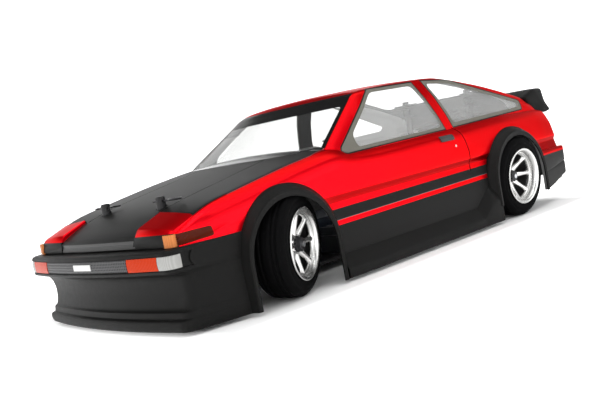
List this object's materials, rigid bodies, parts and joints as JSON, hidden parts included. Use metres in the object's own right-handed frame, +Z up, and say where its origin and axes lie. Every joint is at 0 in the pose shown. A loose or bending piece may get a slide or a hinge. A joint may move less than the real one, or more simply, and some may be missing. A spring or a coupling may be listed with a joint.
{
  "type": "radio controlled drift car",
  "caption": "Radio controlled drift car: a low coupe shell with flared arches and spoked wheels, pinned on posts over a sprung, steered, rear driven chassis.",
  "frame": {"origin": "on the ground under the middle of the car's overall length and width", "axes": "+X the car's left, -Y the nose, +Z up; the front wheels stand steered 24 degrees to the car's left"},
  "size_m": [0.2018, 0.4454, 0.1265],
  "materials": {
    "window": "clear unpainted polycarbonate",
    "lamp": "tinted lamp lenses",
    "shell": "clear polycarbonate painted candy red and satin black from inside",
    "wing": "satin black moulding",
    "plate": "woven fibre plate",
    "plastic": "black moulded nylon",
    "battery": "hard case",
    "electronics": "black moulded case",
    "motor": "plain steel can",
    "steel": "ground steel",
    "gear": "moulded acetal",
    "tyre": "hard plastic drift tyre",
    "rim": "plated plastic with a polished lip",
    "damper": "anodised",
    "clip": "black spring wire"
  },
  "bodies": {
    "chassis": {"body_shell": "shell", "rear_wing": "wing", "body_post_front_left": "plastic", "body_post_front_right": "plastic", "body_post_rear_left": "plastic", "body_post_rear_right": "plastic", "chassis_plate": "plate", "upper_deck": "plate", "front_bulkhead": "plastic", "rear_gearbox": "plastic", "battery_pack": "battery", "speed_controller": "electronics", "motor": "motor", "steering_servo": "electronics", "shock_body_front_left": "damper", "shock_body_front_right": "damper", "shock_body_rear_left": "damper", "shock_body_rear_right": "damper"},
    "arm_front_left": {"lower_arm_front_left": "plastic"},
    "caster_left": {"caster_block_left": "plastic"},
    "wheel_front_left": {"rim_front_left": "rim", "tyre_front_left": "tyre", "wheel_nut_front_left": "clip", "wheel_axle_front_left": "steel"},
    "steering_knuckle_left": {"knuckle_left": "plastic"},
    "damper_shaft_front_left": {"shock_shaft_front_left": "steel"},
    "clip_front_left": {"body_clip_front_left": "clip"},
    "arm_rear_left": {"lower_arm_rear_left": "plastic"},
    "carrier_left": {"hub_carrier_left": "plastic"},
    "wheel_rear_left": {"rim_rear_left": "rim", "tyre_rear_left": "tyre", "wheel_nut_rear_left": "clip", "wheel_axle_rear_left": "steel"},
    "driveshaft_left": {"driveshaft_left": "steel"},
    "damper_shaft_rear_left": {"shock_shaft_rear_left": "steel"},
    "clip_rear_left": {"body_clip_rear_left": "clip"},
    "arm_front_right": {"lower_arm_front_right": "plastic"},
    "caster_right": {"caster_block_right": "plastic"},
    "wheel_front_right": {"rim_front_right": "rim", "tyre_front_right": "tyre", "wheel_nut_front_right": "clip", "wheel_axle_front_right": "steel"},
    "steering_knuckle_right": {"knuckle_right": "plastic"},
    "damper_shaft_front_right": {"shock_shaft_front_right": "steel"},
    "clip_front_right": {"body_clip_front_right": "clip"},
    "arm_rear_right": {"lower_arm_rear_right": "plastic"},
    "carrier_right": {"hub_carrier_right": "plastic"},
    "wheel_rear_right": {"rim_rear_right": "rim", "tyre_rear_right": "tyre", "wheel_nut_rear_right": "clip", "wheel_axle_rear_right": "steel"},
    "driveshaft_right": {"driveshaft_right": "steel"},
    "damper_shaft_rear_right": {"shock_shaft_rear_right": "steel"},
    "clip_rear_right": {"body_clip_rear_right": "clip"},
    "rack": {"steering_rack": "plate"},
    "link_left": {"tie_rod_left": "steel"},
    "link_right": {"tie_rod_right": "steel"},
    "spool": {"rear_spool": "steel"},
    "layshaft": {"spur_gear": "gear"},
    "pinion": {"motor_pinion": "steel"}
  },
  "joints": [
    {"name": "suspension_front_left", "type": "hinge", "parent": "chassis", "child": "arm_front_left", "pos_m": [0.022, -0.1277, 0.015], "axis": [0, -1, 0], "range_deg": [-6, 1.5], "stiffness_Nm_per_rad": 1.5, "springref_deg": -4.58},
    {"name": "upright_front_left", "type": "hinge", "parent": "arm_front_left", "child": "caster_left", "pos_m": [0.055, -0.1277, 0.015], "axis": [0, -1, 0], "range_deg": [-1.6, 6.1]},
    {"name": "steer_left", "type": "hinge", "parent": "caster_left", "child": "steering_knuckle_left", "pos_m": [0.0716, -0.1277, 0.03328], "axis": [0, 0, 1], "range_deg": [-56, 6]},
    {"name": "spin_front_left", "type": "hinge", "parent": "steering_knuckle_left", "child": "wheel_front_left", "pos_m": [0.0716, -0.1277, 0.03328], "axis": [0.9113, 0.4057, -0.0698], "continuous": true},
    {"name": "damper_front_left", "type": "slide", "parent": "chassis", "child": "damper_shaft_front_left", "axis": [0.3162, 0, -0.9487], "range_m": [-0.00064, 0.00252]},
    {"name": "clip_pull_front_left", "type": "slide", "parent": "chassis", "child": "clip_front_left", "axis": [1, 0, 0], "range_m": [0, 0.018]},
    {"name": "suspension_rear_left", "type": "hinge", "parent": "chassis", "child": "arm_rear_left", "pos_m": [0.022, 0.1273, 0.015], "axis": [0, -1, 0], "range_deg": [-6, 1.5], "stiffness_Nm_per_rad": 1.5, "springref_deg": -4.58},
    {"name": "upright_rear_left", "type": "hinge", "parent": "arm_rear_left", "child": "carrier_left", "pos_m": [0.055, 0.1273, 0.015], "axis": [0, -1, 0], "range_deg": [-1.6, 6.1]},
    {"name": "spin_rear_left", "type": "hinge", "parent": "carrier_left", "child": "wheel_rear_left", "pos_m": [0.0747, 0.1273, 0.03348], "axis": [0.9962, 0, -0.0872], "continuous": true},
    {"name": "driveshaft_spin_left", "type": "hinge", "parent": "arm_rear_left", "child": "driveshaft_left", "pos_m": [0.0204, 0.1273, 0.033], "axis": [0.9979, 0, 0.0649], "continuous": true},
    {"name": "damper_rear_left", "type": "slide", "parent": "chassis", "child": "damper_shaft_rear_left", "axis": [0.3162, 0, -0.9487], "range_m": [-0.00064, 0.00252]},
    {"name": "clip_pull_rear_left", "type": "slide", "parent": "chassis", "child": "clip_rear_left", "axis": [1, 0, 0], "range_m": [0, 0.018]},
    {"name": "suspension_front_right", "type": "hinge", "parent": "chassis", "child": "arm_front_right", "pos_m": [-0.022, -0.1277, 0.015], "axis": [0, 1, 0], "range_deg": [-6, 1.5], "stiffness_Nm_per_rad": 1.5, "springref_deg": -4.58},
    {"name": "upright_front_right", "type": "hinge", "parent": "arm_front_right", "child": "caster_right", "pos_m": [-0.055, -0.1277, 0.015], "axis": [0, 1, 0], "range_deg": [-1.6, 6.1]},
    {"name": "steer_right", "type": "hinge", "parent": "caster_right", "child": "steering_knuckle_right", "pos_m": [-0.0716, -0.1277, 0.03328], "axis": [0, 0, 1], "range_deg": [-56, 6]},
    {"name": "spin_front_right", "type": "hinge", "parent": "steering_knuckle_right", "child": "wheel_front_right", "pos_m": [-0.0716, -0.1277, 0.03328], "axis": [0.9113, 0.4057, 0.0698], "continuous": true},
    {"name": "damper_front_right", "type": "slide", "parent": "chassis", "child": "damper_shaft_front_right", "axis": [-0.3162, 0, -0.9487], "range_m": [-0.00064, 0.00252]},
    {"name": "clip_pull_front_right", "type": "slide", "parent": "chassis", "child": "clip_front_right", "axis": [-1, 0, 0], "range_m": [0, 0.018]},
    {"name": "suspension_rear_right", "type": "hinge", "parent": "chassis", "child": "arm_rear_right", "pos_m": [-0.022, 0.1273, 0.015], "axis": [0, 1, 0], "range_deg": [-6, 1.5], "stiffness_Nm_per_rad": 1.5, "springref_deg": -4.58},
    {"name": "upright_rear_right", "type": "hinge", "parent": "arm_rear_right", "child": "carrier_right", "pos_m": [-0.055, 0.1273, 0.015], "axis": [0, 1, 0], "range_deg": [-1.6, 6.1]},
    {"name": "spin_rear_right", "type": "hinge", "parent": "carrier_right", "child": "wheel_rear_right", "pos_m": [-0.0747, 0.1273, 0.03348], "axis": [0.9962, 0, 0.0872], "continuous": true},
    {"name": "driveshaft_spin_right", "type": "hinge", "parent": "arm_rear_right", "child": "driveshaft_right", "pos_m": [-0.0204, 0.1273, 0.033], "axis": [0.9979, 0, -0.0649], "continuous": true},
    {"name": "damper_rear_right", "type": "slide", "parent": "chassis", "child": "damper_shaft_rear_right", "axis": [-0.3162, 0, -0.9487], "range_m": [-0.00064, 0.00252]},
    {"name": "clip_pull_rear_right", "type": "slide", "parent": "chassis", "child": "clip_rear_right", "axis": [-1, 0, 0], "range_m": [0, 0.018]},
    {"name": "rack_slide", "type": "slide", "parent": "chassis", "child": "rack", "axis": [1, 0, 0], "range_m": [-0.0016, 0.0144]},
    {"name": "tie_rod_left", "type": "hinge", "parent": "rack", "child": "link_left", "pos_m": [0.0322, -0.1107, 0.0332], "axis": [0, 0, 1], "range_deg": [-1.6, 14.1]},
    {"name": "tie_rod_right", "type": "hinge", "parent": "rack", "child": "link_right", "pos_m": [-0.0438, -0.1107, 0.0332], "axis": [0, 0, 1], "range_deg": [-1.6, 14.1]},
    {"name": "spool_spin", "type": "hinge", "parent": "chassis", "child": "spool", "pos_m": [0, 0.1273, 0.033], "axis": [1, 0, 0], "continuous": true},
    {"name": "layshaft_spin", "type": "hinge", "parent": "chassis", "child": "layshaft", "pos_m": [-0.0205, 0.1051, 0.039], "axis": [1, 0, 0], "continuous": true},
    {"name": "motor_spin", "type": "hinge", "parent": "chassis", "child": "pinion", "pos_m": [-0.0205, 0.0822, 0.0275], "axis": [1, 0, 0], "continuous": true}
  ],
  "couplings": [
    {"joint": "upright_front_left", "follows": "suspension_front_left", "ratio": -1},
    {"joint": "damper_front_left", "follows": "suspension_front_left", "m_per_rad": -0.02365},
    {"joint": "upright_rear_left", "follows": "suspension_rear_left", "ratio": -1},
    {"joint": "driveshaft_spin_left", "follows": "spin_rear_left", "ratio": 1},
    {"joint": "damper_rear_left", "follows": "suspension_rear_left", "m_per_rad": -0.02365},
    {"joint": "upright_front_right", "follows": "suspension_front_right", "ratio": -1},
    {"joint": "steer_right", "follows": "steer_left", "ratio": 1},
    {"joint": "damper_front_right", "follows": "suspension_front_right", "m_per_rad": -0.02365},
    {"joint": "upright_rear_right", "follows": "suspension_rear_right", "ratio": -1},
    {"joint": "spin_rear_right", "follows": "spin_rear_left", "ratio": 1},
    {"joint": "driveshaft_spin_right", "follows": "spin_rear_left", "ratio": 1},
    {"joint": "damper_rear_right", "follows": "suspension_rear_right", "m_per_rad": -0.02365},
    {"joint": "rack_slide", "follows": "steer_left", "m_per_rad": -0.01444},
    {"joint": "tie_rod_left", "follows": "steer_left", "ratio": -0.25},
    {"joint": "tie_rod_right", "follows": "steer_left", "ratio": -0.25},
    {"joint": "spool_spin", "follows": "spin_rear_left", "ratio": 1},
    {"joint": "layshaft_spin", "follows": "spin_rear_left", "ratio": -2.1111},
    {"joint": "motor_spin", "follows": "spin_rear_left", "ratio": 3.9583}
  ]
}
